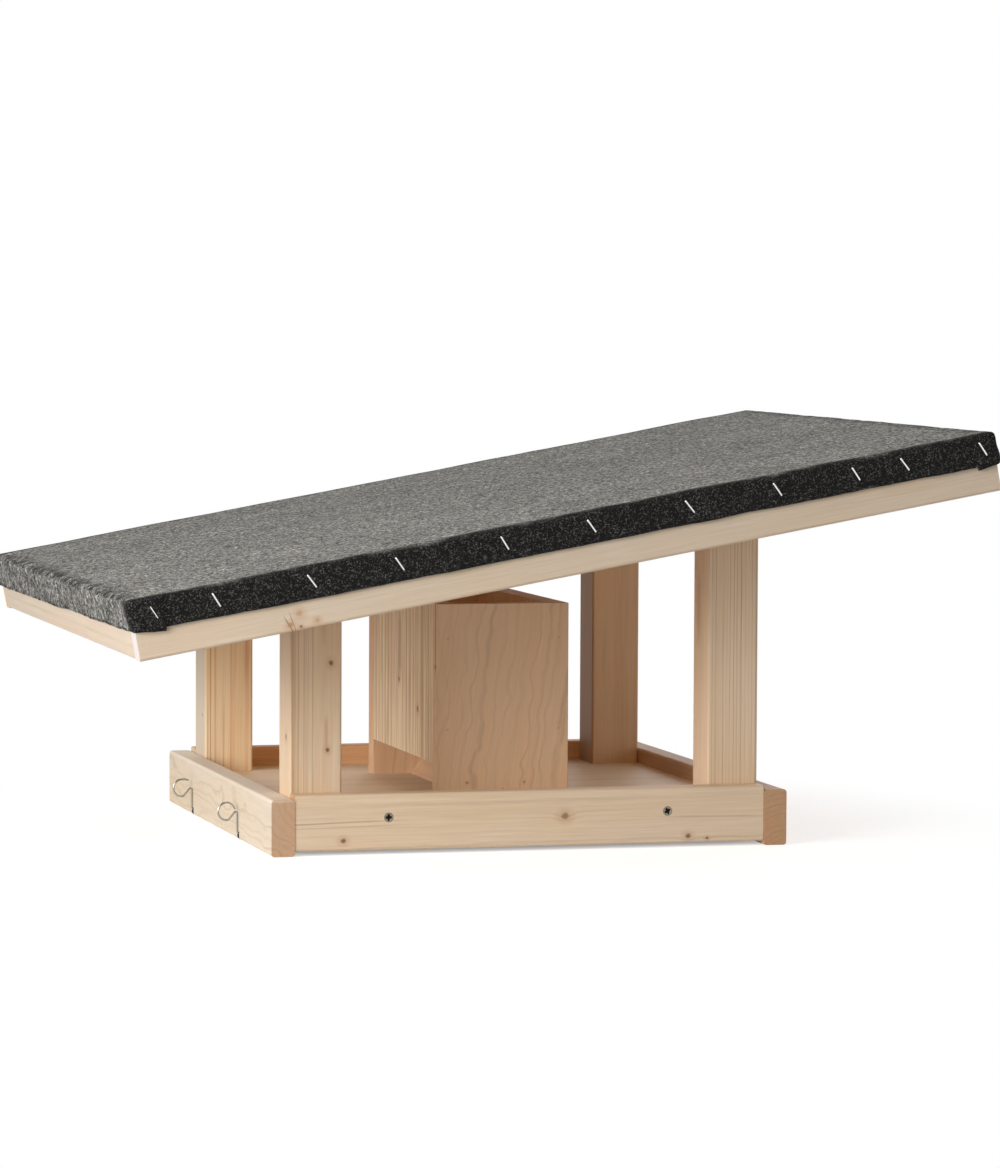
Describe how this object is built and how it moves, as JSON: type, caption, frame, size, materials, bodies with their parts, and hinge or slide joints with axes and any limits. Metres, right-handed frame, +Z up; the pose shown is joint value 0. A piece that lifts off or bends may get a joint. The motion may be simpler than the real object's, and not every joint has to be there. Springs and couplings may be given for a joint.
{
  "type": "bird table",
  "caption": "Open wooden bird table: a low tray with corner posts, a felted lean-to roof, an open-topped seed hopper and wire hooks for fat balls.",
  "frame": {"origin": "on the ground under the middle of the whole table, roof included", "axes": "+X along the front towards the high end of the roof, +Y from front to back, +Z up"},
  "size_m": [0.7012, 0.6546, 0.337],
  "materials": {
    "spruce_boards": "planed, unfinished",
    "spruce_posts": "planed, unfinished",
    "hopper_wood": "planed, unfinished",
    "panel_wood": "sanded, unfinished",
    "mineral_felt": "slate granules in bitumen",
    "zinc_steel": "zinc plated",
    "hook_wire": "galvanised"
  },
  "bodies": {
    "root": {"end_board_left": "spruce_boards", "end_board_right": "spruce_boards", "rim_board_front": "spruce_boards", "rim_board_rear": "spruce_boards", "tray_floor": "panel_wood", "post_front_left": "spruce_posts", "post_front_right": "spruce_posts", "post_rear_left": "spruce_posts", "post_rear_right": "spruce_posts", "hopper_panel_front": "hopper_wood", "hopper_panel_rear": "hopper_wood", "hopper_panel_left": "hopper_wood", "hopper_panel_right": "hopper_wood", "seed_ridge": "hopper_wood", "roof_board_front": "spruce_boards", "roof_board_rear": "spruce_boards", "roof_board_left": "spruce_boards", "roof_board_right": "spruce_boards", "roof_deck": "panel_wood", "roof_felt": "mineral_felt", "felt_staples_front": "zinc_steel", "felt_staples_rear": "zinc_steel", "rim_screws": "zinc_steel", "end_board_brads": "zinc_steel", "post_floor_screws": "zinc_steel", "post_deck_screws": "zinc_steel", "roof_frame_brads": "zinc_steel", "hopper_brads": "zinc_steel", "hopper_floor_screws": "zinc_steel", "hook_staples": "zinc_steel", "fat_ball_hook_front": "hook_wire", "fat_ball_hook_rear": "hook_wire"}
  },
  "joints": []
}
